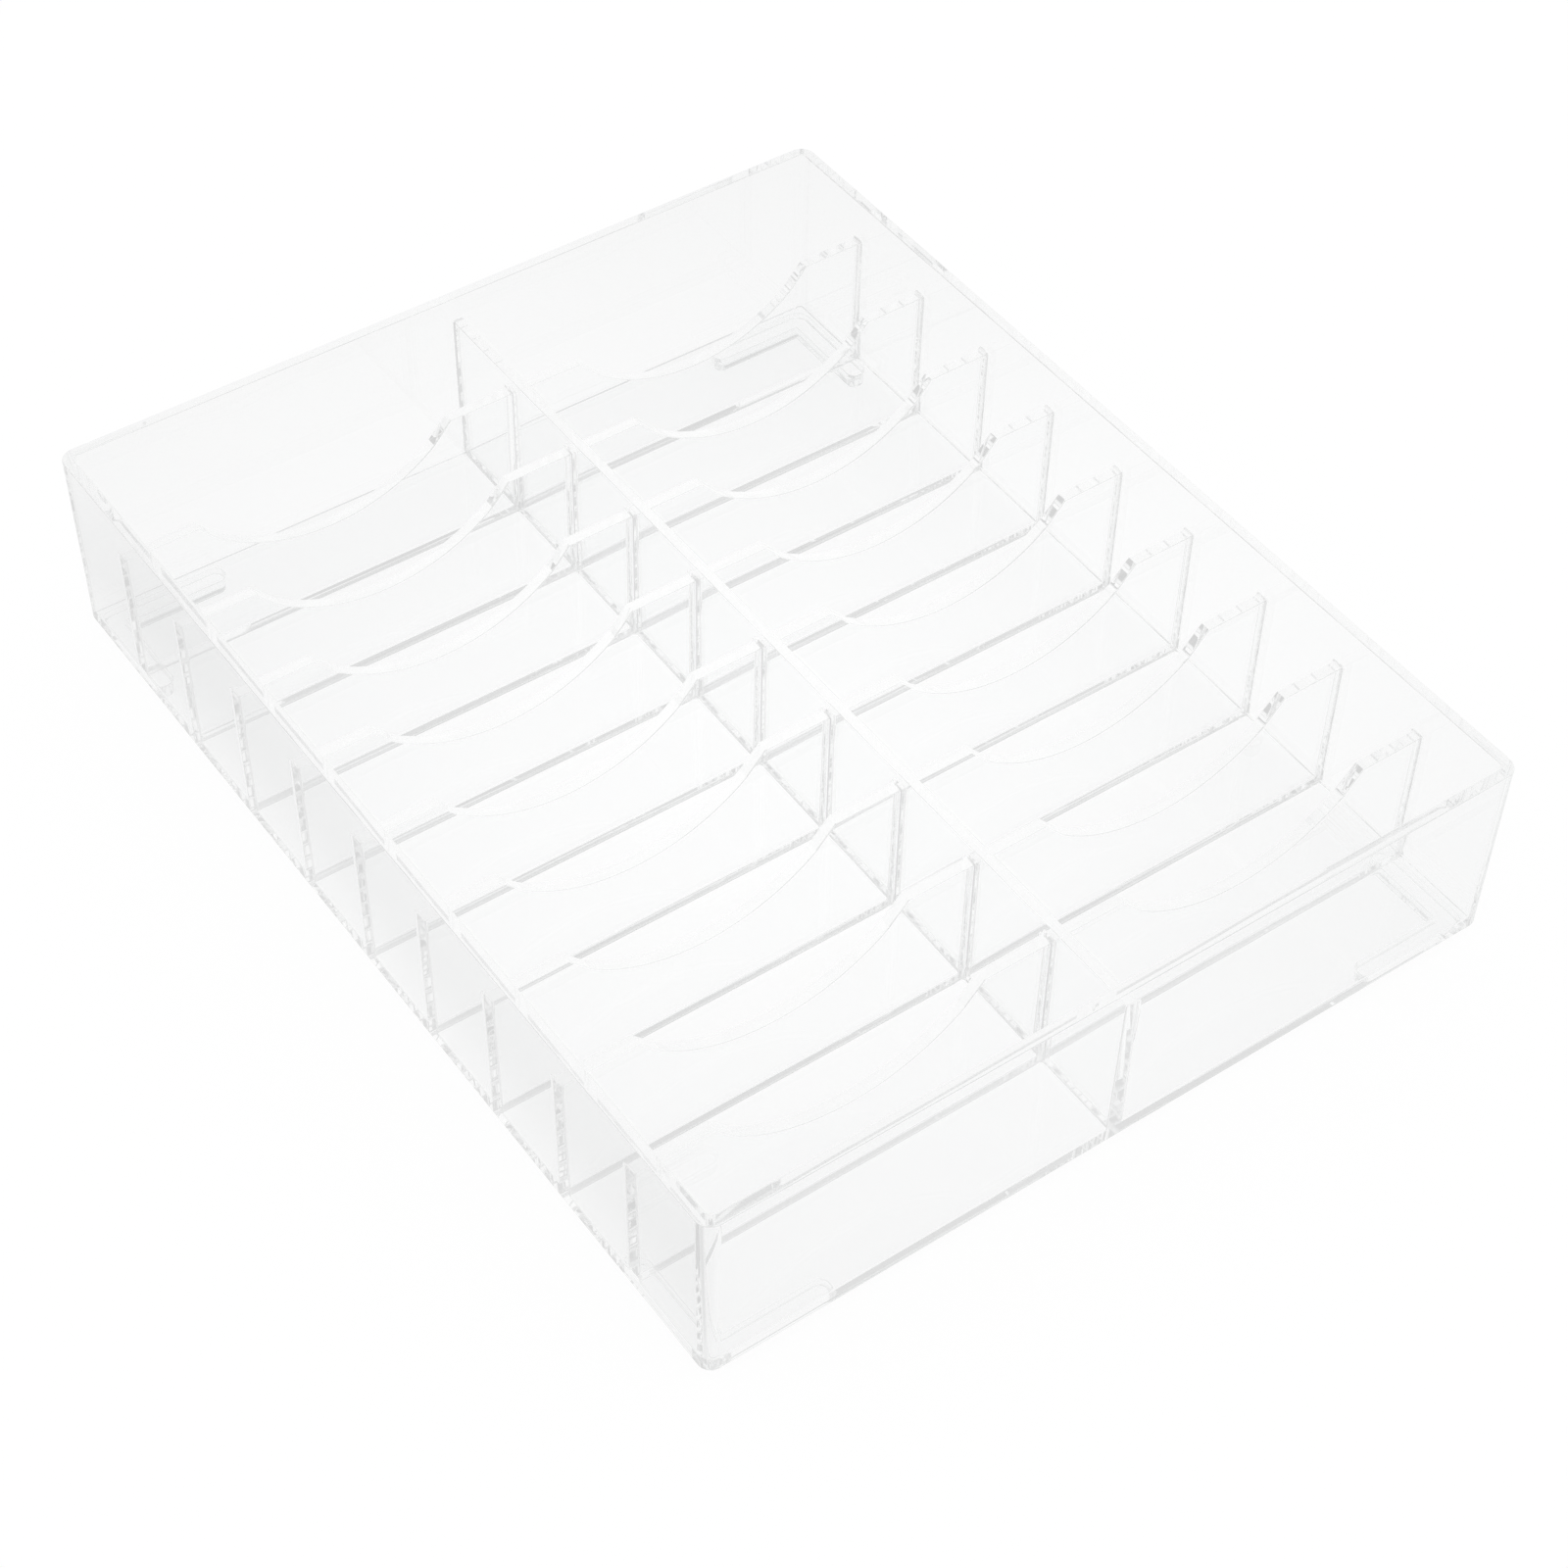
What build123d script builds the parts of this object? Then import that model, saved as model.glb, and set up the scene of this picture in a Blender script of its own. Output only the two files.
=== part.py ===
from build123d import *
from build123d.topology import SkipClean
import os

# Clear plastic tray with two columns of ten compartments for rectangular gaming plaques.
# Frame: +Z up, X across the tray, Y along it, origin under the centre at the level the feet stand on.
# Lengths are in millimetres and the draft is in degrees.

# tray shell
RIM_LENGTH = 210.0
RIM_WIDTH = 168.0
BODY_HEIGHT = 40.0
WALL = 2.2
FLOOR = 1.6
WALL_DRAFT = 0.65
CORNER_RADIUS = 3.0
INNER_CORNER_RADIUS = 1.2
BOTTOM_RADIUS = 0.6
RIM_EDGE_BREAK = 0.25

# corner feet, which drop inside the rim of the tray below in a stack
FOOT_DEPTH = 3.6
FOOT_INSET = 3.0
FOOT_WIDTH = 3.8
FOOT_ARM = 23.6
FOOT_CORNER_RADIUS = 2.6
FOOT_END_RADIUS = 1.7
FOOT_EDGE_RADIUS = 0.5

# centre divider
CENTRE_HEIGHT = 33.0
CENTRE_TOP_THICKNESS = 2.0
CENTRE_BASE_THICKNESS = 2.6

# cross dividers
CELLS_PER_COLUMN = 10
DIVIDERS_PER_COLUMN = CELLS_PER_COLUMN - 1
DIVIDER_HEIGHT = 29.4
DIVIDER_TOP_THICKNESS = 2.2
DIVIDER_BASE_THICKNESS = 2.7

# finger scoop in the top edge of every cross divider
SCOOP_HALF_WIDTH = 26.8
SCOOP_ARC_HALF_WIDTH = 22.9
SCOOP_SHOULDER_HEIGHT = 25.0
SCOOP_LOW_HEIGHT = 16.7

# radii where the pieces meet, and along the dividers' top edges
ROOT_RADIUS = 0.7
FOOT_ROOT_RADIUS = 0.4
TOP_EDGE_RADIUS = 0.2

# levels and spacings that follow from the sizes above
FLOOR_BOTTOM = FOOT_DEPTH
FLOOR_TOP = FLOOR_BOTTOM + FLOOR
RIM_TOP = FLOOR_BOTTOM + BODY_HEIGHT
CAVITY_DEPTH = RIM_TOP - FLOOR_TOP
INNER_LENGTH = RIM_LENGTH - 2 * WALL
INNER_WIDTH = RIM_WIDTH - 2 * WALL
CELL_WIDTH = (INNER_LENGTH - DIVIDERS_PER_COLUMN * DIVIDER_TOP_THICKNESS) / CELLS_PER_COLUMN
PITCH = CELL_WIDTH + DIVIDER_TOP_THICKNESS
FIRST_DIVIDER_Y = INNER_LENGTH / 2 - CELL_WIDTH - DIVIDER_TOP_THICKNESS / 2
COLUMN_CENTRE_X = (INNER_WIDTH / 2 + CENTRE_TOP_THICKNESS / 2) / 2

# how far an edge may lie off a level and still count as lying in it
TOLERANCE = 0.05
# how much shorter or longer than the dividers' heights an upright root line may be
ROOT_SEARCH = 1.0
SIDES = ((-1, "left"), (1, "right"))
ENDS = ((-1, "front"), (1, "back"))


def downward_block(length, width, corner_radius, depth):
    """A rounded rectangle at the level of the rim, drafted inwards as it goes down."""
    rim_plane = Plane(origin=(0, 0, RIM_TOP), x_dir=(1, 0, 0), z_dir=(0, 0, -1))
    outline = rim_plane * RectangleRounded(width, length, corner_radius)
    return extrude(outline, amount=depth, taper=WALL_DRAFT)


def plain_shell(cavity):
    """Four drafted walls and the floor."""
    body = downward_block(RIM_LENGTH, RIM_WIDTH, CORNER_RADIUS, BODY_HEIGHT)
    lowest_edges = body.faces().sort_by(Axis.Z)[0].edges()
    body = fillet(lowest_edges, BOTTOM_RADIUS)
    shell = body - cavity
    rim_edges = shell.faces().sort_by(Axis.Z)[-1].edges()
    return fillet(rim_edges, RIM_EDGE_BREAK)


def tapered_plate(base_thickness, top_thickness, height, length):
    """A plate along Y that stands on the floor and gets thinner as it goes up."""
    points = [
        (-base_thickness / 2, FLOOR_TOP),
        (base_thickness / 2, FLOOR_TOP),
        (top_thickness / 2, FLOOR_TOP + height),
        (-top_thickness / 2, FLOOR_TOP + height),
    ]
    section = make_face(Polyline(*points, close=True))
    return extrude(Plane.XZ * section, amount=length / 2, both=True)


def plain_centre():
    """The plate that runs the full length of the tray between its two columns."""
    plate = tapered_plate(CENTRE_BASE_THICKNESS, CENTRE_TOP_THICKNESS, CENTRE_HEIGHT, RIM_LENGTH)
    top_edges = plate.faces().sort_by(Axis.Z)[-1].edges().filter_by(Axis.Y)
    return fillet(top_edges, TOP_EDGE_RADIUS)


def make_scoop():
    """The volume cut out of the top edge of a cross divider, centred on X = 0."""
    low = FLOOR_TOP + SCOOP_LOW_HEIGHT
    shoulder = FLOOR_TOP + SCOOP_SHOULDER_HEIGHT
    land = FLOOR_TOP + DIVIDER_HEIGHT
    facet_run = SCOOP_HALF_WIDTH - SCOOP_ARC_HALF_WIDTH
    facet_rise = DIVIDER_HEIGHT - SCOOP_SHOULDER_HEIGHT
    arc = ThreePointArc((-SCOOP_ARC_HALF_WIDTH, shoulder), (0, low), (SCOOP_ARC_HALF_WIDTH, shoulder))
    sides = Polyline(
        (SCOOP_ARC_HALF_WIDTH, shoulder),
        (SCOOP_HALF_WIDTH + facet_run, land + facet_rise),
        (-SCOOP_HALF_WIDTH - facet_run, land + facet_rise),
        (-SCOOP_ARC_HALF_WIDTH, shoulder),
    )
    profile = make_face([arc, sides])
    return extrude(Plane.XZ * profile, amount=DIVIDER_BASE_THICKNESS, both=True)


def plain_cross():
    """A plate along X at Y = 0 with a finger scoop over each column."""
    plate = tapered_plate(DIVIDER_BASE_THICKNESS, DIVIDER_TOP_THICKNESS, DIVIDER_HEIGHT, RIM_WIDTH)
    plate = Rot(0, 0, 90) * plate
    for side, _ in SIDES:
        plate = plate - Pos(side * COLUMN_CENTRE_X, 0, 0) * make_scoop()
    top_faces = [face for face in plate.faces() if face.normal_at().Z > 0.5]
    top_edges = [edge for face in top_faces for edge in face.edges() if abs(edge.tangent_at(0.5).Y) < 0.5]
    return fillet(top_edges, TOP_EDGE_RADIUS)


def plain_foot(side_x, side_y):
    """An L-shaped rib under one corner of the floor."""
    outer_x = RIM_WIDTH / 2 - FOOT_INSET
    outer_y = RIM_LENGTH / 2 - FOOT_INSET
    tip_x = outer_x - FOOT_ARM
    tip_y = outer_y - FOOT_ARM
    points = [
        (outer_x, outer_y),
        (tip_x, outer_y),
        (tip_x, outer_y - FOOT_WIDTH),
        (outer_x - FOOT_WIDTH, outer_y - FOOT_WIDTH),
        (outer_x - FOOT_WIDTH, tip_y),
        (outer_x, tip_y),
    ]
    outline = make_face(Polyline(*points, close=True))
    corner = outline.vertices().sort_by_distance((outer_x, outer_y))[0]
    outline = fillet(corner, FOOT_CORNER_RADIUS)
    tips = [
        vertex
        for vertex in outline.vertices()
        if vertex.X < tip_x + TOLERANCE or vertex.Y < tip_y + TOLERANCE
    ]
    outline = fillet(tips, FOOT_END_RADIUS)
    foot = extrude(outline, amount=FOOT_DEPTH)
    foot = fillet(foot.faces().sort_by(Axis.Z)[0].edges(), FOOT_EDGE_RADIUS)
    if side_x < 0:
        foot = mirror(foot, about=Plane.YZ)
    if side_y < 0:
        foot = mirror(foot, about=Plane.XZ)
    return foot


def divider_y(index):
    """The middle of a cross divider, counted from 0 at the back."""
    return FIRST_DIVIDER_Y - index * PITCH


def box_between(x_ends, y_ends, z_ends):
    """A block from the lower to the upper of each pair of limits, whichever comes first."""
    spans = [sorted(ends) for ends in (x_ends, y_ends, z_ends)]
    sizes = [upper - lower for lower, upper in spans]
    middle = [(upper + lower) / 2 for lower, upper in spans]
    return Pos(*middle) * Box(*sizes)


def lies_level(edge, level):
    """True when the whole of an edge is at one height."""
    box = edge.bounding_box()
    return abs(box.min.Z - level) < TOLERANCE and abs(box.max.Z - level) < TOLERANCE


def is_upright_root(edge):
    """True for the upright lines where a plate ends against a wall or against another plate."""
    if edge.geom_type != GeomType.LINE or abs(edge.tangent_at(0.5).Z) < 0.9:
        return False
    return DIVIDER_HEIGHT - ROOT_SEARCH < edge.length < CENTRE_HEIGHT + ROOT_SEARCH


def is_foot_root(edge):
    """True for the lines where the feet meet the floor, and not for the outline of the floor itself."""
    outer_x = RIM_WIDTH / 2 - FOOT_INSET + TOLERANCE
    outer_y = RIM_LENGTH / 2 - FOOT_INSET + TOLERANCE
    middle = edge.center()
    return lies_level(edge, FLOOR_BOTTOM) and abs(middle.X) < outer_x and abs(middle.Y) < outer_y


def join_with_roots(shell, centre, cross_dividers, feet):
    """All the pieces as one body, with root radii that run into each other at the corners."""
    whole = shell.fuse(centre, *cross_dividers, *feet)
    roots = [edge for edge in whole.edges() if lies_level(edge, FLOOR_TOP) or is_upright_root(edge)]
    whole = fillet(roots, ROOT_RADIUS)
    foot_roots = [edge for edge in whole.edges() if is_foot_root(edge)]
    return fillet(foot_roots, FOOT_ROOT_RADIUS)


def take_cross_divider(whole, side, index, shell, centre):
    """One cross divider with its own root radii, cut out of the joined body."""
    reach = DIVIDER_BASE_THICKNESS / 2 + ROOT_RADIUS + TOLERANCE
    middle = divider_y(index)
    zone = box_between((0, side * RIM_WIDTH / 2), (middle - reach, middle + reach), (FLOOR_TOP, RIM_TOP))
    return (whole & zone) - shell - centre


def take_centre_divider(whole, shell, cross_dividers):
    """The centre divider with its own root radii and a separate face for every plate that meets it."""
    reach = CENTRE_BASE_THICKNESS / 2 + ROOT_RADIUS + TOLERANCE
    zone = box_between((-reach, reach), (-RIM_LENGTH / 2, RIM_LENGTH / 2), (FLOOR_TOP, RIM_TOP))
    block = (whole & zone) - shell
    with SkipClean():
        return block.cut(*cross_dividers)


def take_foot(whole, side_x, side_y):
    """One foot with its own root radius, cut out of the joined body."""
    zone = box_between((0, side_x * RIM_WIDTH / 2), (0, side_y * RIM_LENGTH / 2), (0, FLOOR_BOTTOM))
    return whole & zone


def make_parts():
    """Every piece of the tray by its node name."""
    cavity = downward_block(INNER_LENGTH, INNER_WIDTH, INNER_CORNER_RADIUS, CAVITY_DEPTH)
    shell = plain_shell(cavity)
    centre = plain_centre() & cavity
    plate = plain_cross()
    rows = [(Pos(0, divider_y(index), 0) * plate) & cavity for index in range(DIVIDERS_PER_COLUMN)]
    feet = [plain_foot(side_x, side_y) for side_x, _ in SIDES for side_y, _ in ENDS]
    whole = join_with_roots(shell, centre, rows, feet)
    parts = {}
    for side, side_name in SIDES:
        for index in range(DIVIDERS_PER_COLUMN):
            name = f"{side_name}_divider_{index + 1}"
            parts[name] = take_cross_divider(whole, side, index, shell, centre)
    parts["centre_divider"] = take_centre_divider(whole, shell, list(parts.values()))
    for side_x, name_x in SIDES:
        for side_y, name_y in ENDS:
            parts[f"foot_{name_y}_{name_x}"] = take_foot(whole, side_x, side_y)
    # the shell is what is left, with a separate face wherever a piece meets it
    with SkipClean():
        parts["tray_shell"] = whole.cut(*parts.values())
    return parts


os.makedirs("parts", exist_ok=True)
for node, shape in make_parts().items():
    export_step(shape, f"parts/{node}.step")
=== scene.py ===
import math

import bpy
from mathutils import Matrix, Vector
from mathutils.bvhtree import BVHTree

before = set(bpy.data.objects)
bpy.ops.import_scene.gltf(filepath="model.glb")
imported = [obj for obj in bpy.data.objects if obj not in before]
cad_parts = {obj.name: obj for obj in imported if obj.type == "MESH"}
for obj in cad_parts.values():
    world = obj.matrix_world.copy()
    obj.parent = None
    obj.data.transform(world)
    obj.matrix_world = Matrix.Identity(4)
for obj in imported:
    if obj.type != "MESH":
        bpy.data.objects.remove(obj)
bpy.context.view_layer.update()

# Lengths are in metres, unless the name says mm, and angles are in degrees.

WHITE = (1.0, 1.0, 1.0, 1.0)

# The camera, at the photograph's viewing angle.
CAMERA_AZIMUTH = 37.70
CAMERA_ELEVATION = 47.21
CAMERA_ROLL = 2.41
CAMERA_DISTANCE = 0.6317
CAMERA_TARGET = (0.0117, -0.0106, 0.0)
CAMERA_LENS_MM = 78.22
CAMERA_SENSOR_MM = 36.0
CAMERA_SHIFT = (-0.0387, -0.0006)
CAMERA_CLIP_START = 0.01

# The clear plastic. Its handling marks are where the noise lies in the upper part of its range.
PLASTIC_IOR = 1.53
PLASTIC_TINT = (0.988, 0.990, 0.990, 1.0)
SMOOTHEST = 0.0
PLATE_ROUGHEST = 0.03
FOOT_ROUGHEST = 0.08
MARKS_SCALE = 60.0
MARKS_DETAIL = 5.0
MARKS_NOISE = (0.45, 0.8)

# The shallow waves that a moulding has.
WAVES_SCALE = 45.0
WAVES_DETAIL = 1.0
WAVES_STRENGTH = 0.1
WAVES_HEIGHT = 0.0004

# Each material starts its noise in another place.
SEED_STEP = Vector((0.37, 0.61, 0.23))

# Where two pieces are bonded: how near their faces are, the cosine between faces that look opposite ways,
# and how many bonded faces a ray may cross.
BOND_REACH = 0.000002
BOND_FACING = -0.9
BOND_CROSSINGS = 64

# How often a ray may turn in the plastic, and the painted glow, standing in for the room's light, that the
# plastic gives a ray which has turned that often.
BOUNCES = 32
PAST_LAST_BOUNCE = BOUNCES + 0.5
TRAPPED_LIGHT = 0.66

# The studio, as the plastic shows it: its light at the horizon and overhead, and its darker part
# above and behind the tray, with the cosines at that part's outer and inner edge.
HORIZON_LIGHT = 0.85
ZENITH_LIGHT = 1.0
DARK_SIDE = (0.2, 0.58, 0.79)
DARK_SIDE_EDGES = (0.76, 0.84)
DARK_SIDE_LIGHT = 0.72

# The floor, which glows like a light table.
FLOOR_SIZE = 8.0
FLOOR_GAP = 0.0002
FLOOR_REFLECTION = 0.05
FLOOR_ROUGHNESS = 0.9
FLOOR_GLOW = 0.96

# The floor, as the plastic shows it: brightest under the middle of the tray, with a darker patch
# along the tray's left wall, which has soft edges at both sides and at both ends.
FLOOR_MIDDLE_LIGHT = 1.01
FLOOR_EDGE_LIGHT = 0.89
FLOOR_FADE_RADIUS = 0.2
PATCH_LIGHT = 0.78
PATCH_INNER_EDGE = (-0.095, -0.08)
PATCH_OUTER_EDGE = (-0.15, -0.22)
PATCH_ENDS = (0.1, 0.17)


def grey(level):
    return (level, level, level, 1.0)


def start_material(name):
    mat = bpy.data.materials.new(name)
    mat.use_nodes = True
    return mat, mat.node_tree, mat.node_tree.nodes["Principled BSDF"]


def add_noise(tree, place, scale, detail):
    noise = tree.nodes.new("ShaderNodeTexNoise")
    noise.inputs["Scale"].default_value = scale
    noise.inputs["Detail"].default_value = detail
    tree.links.new(place, noise.inputs["Vector"])
    return noise.outputs["Fac"]


def add_range(tree, value, ends, results, blend="SMOOTHSTEP"):
    """Turns a value between the two ends into a value between the two results."""
    step = tree.nodes.new("ShaderNodeMapRange")
    step.interpolation_type = blend
    step.inputs["From Min"].default_value, step.inputs["From Max"].default_value = ends
    step.inputs["To Min"].default_value, step.inputs["To Max"].default_value = results
    tree.links.new(value, step.inputs["Value"])
    return step.outputs["Result"]


def add_maths(tree, operation, *terms):
    """Works on one or two terms, each a number or another node's output."""
    result = tree.nodes.new("ShaderNodeMath")
    result.operation = operation
    for term, socket in zip(terms, result.inputs):
        if isinstance(term, float):
            socket.default_value = term
        else:
            tree.links.new(term, socket)
    return result.outputs["Value"]


def add_split(tree, place):
    split = tree.nodes.new("ShaderNodeSeparateXYZ")
    tree.links.new(place, split.inputs["Vector"])
    return split


def light_trapped_rays(tree, shader):
    """A ray that has turned too often would bring back black, so the plastic glows for it with a painted
    light that stands in for the room's light.
    """
    rays = tree.nodes.new("ShaderNodeLightPath")
    deep = add_maths(tree, "GREATER_THAN", rays.outputs["Ray Depth"], PAST_LAST_BOUNCE)
    level = add_maths(tree, "MULTIPLY", deep, TRAPPED_LIGHT)
    # painted glow: the plastic emits TRAPPED_LIGHT only for rays past the last bounce
    tree.links.new(level, shader.inputs["Emission Strength"])
    shader.inputs["Emission Color"].default_value = WHITE


def clear_plastic(name, seed, roughest):
    """Polished clear plastic with faint handling marks and the shallow waves of a moulding."""
    mat, tree, shader = start_material(name)
    shader.inputs["Base Color"].default_value = PLASTIC_TINT
    shader.inputs["Transmission Weight"].default_value = 1.0
    shader.inputs["IOR"].default_value = PLASTIC_IOR
    coords = tree.nodes.new("ShaderNodeTexCoord")
    shift = tree.nodes.new("ShaderNodeMapping")
    shift.inputs["Location"].default_value = SEED_STEP * seed
    tree.links.new(coords.outputs["Object"], shift.inputs["Vector"])
    place = shift.outputs["Vector"]
    marks = add_noise(tree, place, MARKS_SCALE, MARKS_DETAIL)
    gloss = add_range(tree, marks, MARKS_NOISE, (SMOOTHEST, roughest), "LINEAR")
    tree.links.new(gloss, shader.inputs["Roughness"])
    bump = tree.nodes.new("ShaderNodeBump")
    bump.inputs["Strength"].default_value = WAVES_STRENGTH
    bump.inputs["Distance"].default_value = WAVES_HEIGHT
    waves = add_noise(tree, place, WAVES_SCALE, WAVES_DETAIL)
    tree.links.new(waves, bump.inputs["Height"])
    tree.links.new(bump.outputs["Normal"], shader.inputs["Normal"])
    light_trapped_rays(tree, shader)
    return mat


def bonded_face():
    """The hidden faces where two pieces are bonded: light goes straight through them."""
    mat, _, shader = start_material("bonded_face")
    shader.inputs["Alpha"].default_value = 0.0
    return mat


def dress(obj, plastic, bond):
    obj.data.materials.clear()
    obj.data.materials.append(plastic)
    obj.data.materials.append(bond)


def dress_tray(nodes):
    """The shell, the plates and the feet are one plastic, with marks and waves of their own."""
    shell = clear_plastic("clear_plastic_shell", 1, PLATE_ROUGHEST)
    plates = clear_plastic("clear_plastic_plates", 2, PLATE_ROUGHEST)
    feet = clear_plastic("clear_plastic_feet", 3, FOOT_ROUGHEST)
    bond = bonded_face()
    for name, obj in sorted(nodes.items()):
        if name == "tray_shell":
            dress(obj, shell, bond)
        elif name.startswith("foot"):
            dress(obj, feet, bond)
        else:
            dress(obj, plates, bond)


def face_tree(obj):
    corners = [vertex.co.copy() for vertex in obj.data.vertices]
    faces = [tuple(polygon.vertices) for polygon in obj.data.polygons]
    return BVHTree.FromPolygons(corners, faces)


def is_bonded(polygon, trees):
    """Whether the face lies on a face of another piece that looks the other way."""
    for tree in trees:
        place, normal, _, _ = tree.find_nearest(polygon.center, BOND_REACH)
        if place is not None and normal.dot(polygon.normal) < BOND_FACING:
            return True
    return False


def mark_bonded_faces(nodes):
    """Gives the second material to every bonded face."""
    trees = {name: face_tree(obj) for name, obj in nodes.items()}
    for name, obj in nodes.items():
        others = [tree for other, tree in trees.items() if other != name]
        for polygon in obj.data.polygons:
            if is_bonded(polygon, others):
                polygon.material_index = 1


def patch_light(tree, place):
    """PATCH_LIGHT on the darker patch of the floor, and 1 away from it."""
    split = add_split(tree, place)
    along = add_maths(tree, "ABSOLUTE", split.outputs["Y"])
    inner = add_range(tree, split.outputs["X"], PATCH_INNER_EDGE, (PATCH_LIGHT, 1.0))
    outer = add_range(tree, split.outputs["X"], PATCH_OUTER_EDGE, (PATCH_LIGHT, 1.0))
    ends = add_range(tree, along, PATCH_ENDS, (PATCH_LIGHT, 1.0))
    return add_maths(tree, "MAXIMUM", add_maths(tree, "MAXIMUM", inner, outer), ends)


def floor_material():
    """White, and to the plastic a little darker away from the middle and along the left wall."""
    mat, tree, shader = start_material("floor_white")
    shader.inputs["Base Color"].default_value = grey(FLOOR_REFLECTION)
    shader.inputs["Roughness"].default_value = FLOOR_ROUGHNESS
    shader.inputs["Specular IOR Level"].default_value = 0.0
    shader.inputs["Emission Color"].default_value = WHITE
    coords = tree.nodes.new("ShaderNodeTexCoord")
    place = coords.outputs["Object"]
    radius = tree.nodes.new("ShaderNodeVectorMath")
    radius.operation = "LENGTH"
    tree.links.new(place, radius.inputs[0])
    middle = add_range(
        tree, radius.outputs["Value"], (0.0, FLOOR_FADE_RADIUS), (FLOOR_MIDDLE_LIGHT, FLOOR_EDGE_LIGHT)
    )
    seen = add_maths(tree, "MULTIPLY", middle, patch_light(tree, place))
    rays = tree.nodes.new("ShaderNodeLightPath")
    glow = tree.nodes.new("ShaderNodeMix")
    glow.data_type = "FLOAT"
    tree.links.new(rays.outputs["Is Camera Ray"], glow.inputs["Factor"])
    tree.links.new(seen, glow.inputs["A"])
    glow.inputs["B"].default_value = FLOOR_GLOW
    tree.links.new(glow.outputs["Result"], shader.inputs["Emission Strength"])
    return mat


def make_floor():
    """A large plane just under the feet."""
    bpy.ops.mesh.primitive_plane_add(size=FLOOR_SIZE, location=(0, 0, -FLOOR_GAP))
    floor = bpy.context.object
    floor.name = "floor"
    floor.data.materials.append(floor_material())


def studio_light(tree, direction):
    """The light that comes from each direction, for every ray but the camera's own."""
    ramp = tree.nodes.new("ShaderNodeValToRGB")
    horizon, zenith = ramp.color_ramp.elements
    horizon.position, horizon.color = 0.0, grey(HORIZON_LIGHT)
    zenith.position, zenith.color = 1.0, grey(ZENITH_LIGHT)
    tree.links.new(add_split(tree, direction).outputs["Z"], ramp.inputs["Fac"])
    facing = tree.nodes.new("ShaderNodeVectorMath")
    facing.operation = "DOT_PRODUCT"
    tree.links.new(direction, facing.inputs[0])
    facing.inputs[1].default_value = DARK_SIDE
    shade = add_range(tree, facing.outputs["Value"], DARK_SIDE_EDGES, (1.0, DARK_SIDE_LIGHT))
    dim = tree.nodes.new("ShaderNodeVectorMath")
    dim.operation = "SCALE"
    tree.links.new(ramp.outputs["Color"], dim.inputs[0])
    tree.links.new(shade, dim.inputs["Scale"])
    return dim.outputs["Vector"]


def make_world():
    world = bpy.data.worlds.new("studio")
    bpy.context.scene.world = world
    world.use_nodes = True
    tree = world.node_tree
    coords = tree.nodes.new("ShaderNodeTexCoord")
    rays = tree.nodes.new("ShaderNodeLightPath")
    sky = tree.nodes.new("ShaderNodeMix")
    sky.data_type = "RGBA"
    tree.links.new(rays.outputs["Is Camera Ray"], sky.inputs["Factor"])
    tree.links.new(studio_light(tree, coords.outputs["Generated"]), sky.inputs["A"])
    sky.inputs["B"].default_value = WHITE
    tree.links.new(sky.outputs["Result"], tree.nodes["Background"].inputs["Color"])
    tree.nodes["Background"].inputs["Strength"].default_value = 1.0


def camera_turn():
    """The camera's axes as columns, turned by the roll, and the direction from the target to the camera."""
    azimuth = math.radians(CAMERA_AZIMUTH)
    elevation = math.radians(CAMERA_ELEVATION)
    roll = math.radians(CAMERA_ROLL)
    back = Vector((
        -math.sin(azimuth) * math.cos(elevation),
        -math.cos(azimuth) * math.cos(elevation),
        math.sin(elevation),
    ))
    right = (-back).cross(Vector((0, 0, 1))).normalized()
    up = right.cross(-back)
    right_rolled = math.cos(roll) * right + math.sin(roll) * up
    up_rolled = math.cos(roll) * up - math.sin(roll) * right
    return Matrix((right_rolled, up_rolled, back)).transposed(), back


def make_camera():
    data = bpy.data.cameras.new("camera")
    data.lens = CAMERA_LENS_MM
    data.sensor_width = CAMERA_SENSOR_MM
    data.shift_x, data.shift_y = CAMERA_SHIFT
    data.clip_start = CAMERA_CLIP_START
    camera = bpy.data.objects.new("camera", data)
    turn, back = camera_turn()
    place = Vector(CAMERA_TARGET) + back * CAMERA_DISTANCE
    camera.matrix_world = Matrix.Translation(place) @ turn.to_4x4()
    bpy.context.scene.collection.objects.link(camera)
    bpy.context.scene.camera = camera


def set_light_paths(scene):
    scene.view_settings.view_transform = "Standard"
    scene.cycles.max_bounces = BOUNCES
    scene.cycles.transmission_bounces = BOUNCES
    scene.cycles.glossy_bounces = BOUNCES
    scene.cycles.transparent_max_bounces = BOND_CROSSINGS


dress_tray(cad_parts)
mark_bonded_faces(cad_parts)
make_floor()
make_world()
make_camera()
set_light_paths(bpy.context.scene)
